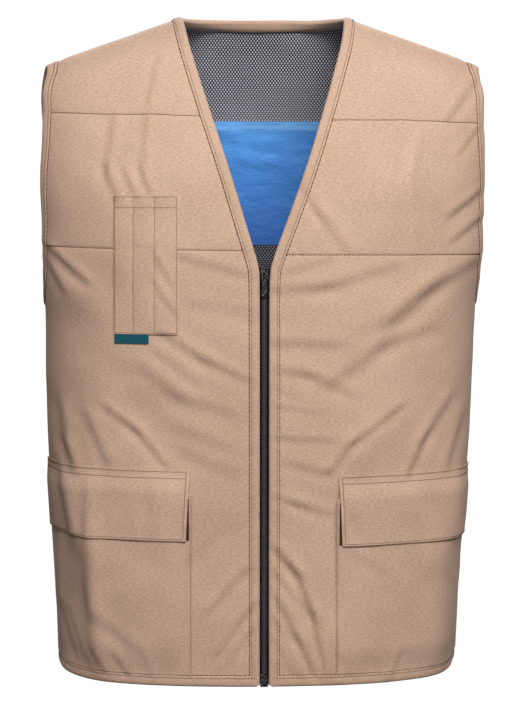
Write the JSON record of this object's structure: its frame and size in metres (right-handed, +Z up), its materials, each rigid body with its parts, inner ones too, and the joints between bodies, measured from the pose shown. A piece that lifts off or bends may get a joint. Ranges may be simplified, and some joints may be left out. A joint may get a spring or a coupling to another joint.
{
  "type": "cooling vest",
  "caption": "Sleeveless zip-front work vest with net lining, a cooling band round the chest, pen pocket and two flap pockets, shown as worn.",
  "frame": {"origin": "midway between the two neck points, on the shoulder line that carries the vest", "axes": "+X to the viewer's right, +Y to the back, +Z up"},
  "size_m": [0.4832, 0.2486, 0.702],
  "materials": {
    "canvas": "matt tan cotton canvas",
    "binding": "matt woven tape, slightly pinker than the canvas",
    "net_lining": "black warp-knit net with pale openings",
    "cooling_cloth": "crinkled bright blue absorbent cloth",
    "zip_tape": "black woven zip tape",
    "zip_teeth": "black moulded zip teeth",
    "zip_metal": "black painted die-cast zip slider",
    "tab": "plain woven teal tab"
  },
  "bodies": {
    "vest": {"front_left_yoke": "canvas", "front_left_chest": "canvas", "front_left_lower": "canvas", "net_yoke_front_left": "net_lining", "cooling_band_front_left": "cooling_cloth", "net_lower_front_left": "net_lining", "armhole_binding_left": "binding", "pocket_left": "canvas", "pocket_flap_left": "canvas", "zip_tape_left": "zip_tape", "front_right_yoke": "canvas", "front_right_chest": "canvas", "front_right_lower": "canvas", "net_yoke_front_right": "net_lining", "cooling_band_front_right": "cooling_cloth", "net_lower_front_right": "net_lining", "armhole_binding_right": "binding", "pocket_right": "canvas", "pocket_flap_right": "canvas", "zip_tape_right": "zip_tape", "back_yoke": "canvas", "back_chest": "canvas", "back_lower": "canvas", "net_yoke_back": "net_lining", "cooling_band_back": "cooling_cloth", "net_lower_back": "net_lining", "edge_binding": "binding", "hem_binding": "binding", "pen_pocket": "canvas", "label_tab": "tab", "zip_chain": "zip_teeth", "zip_end_box": "zip_teeth", "zip_slider": "zip_metal"},
    "zip_pull": {"zip_pull": "zip_metal"}
  },
  "joints": [
    {"name": "zip_pull_swing", "type": "hinge", "parent": "vest", "child": "zip_pull", "pos_m": [0, -0.12797, -0.26996], "axis": [-1, 0, 0], "range_deg": [0, 165]}
  ]
}
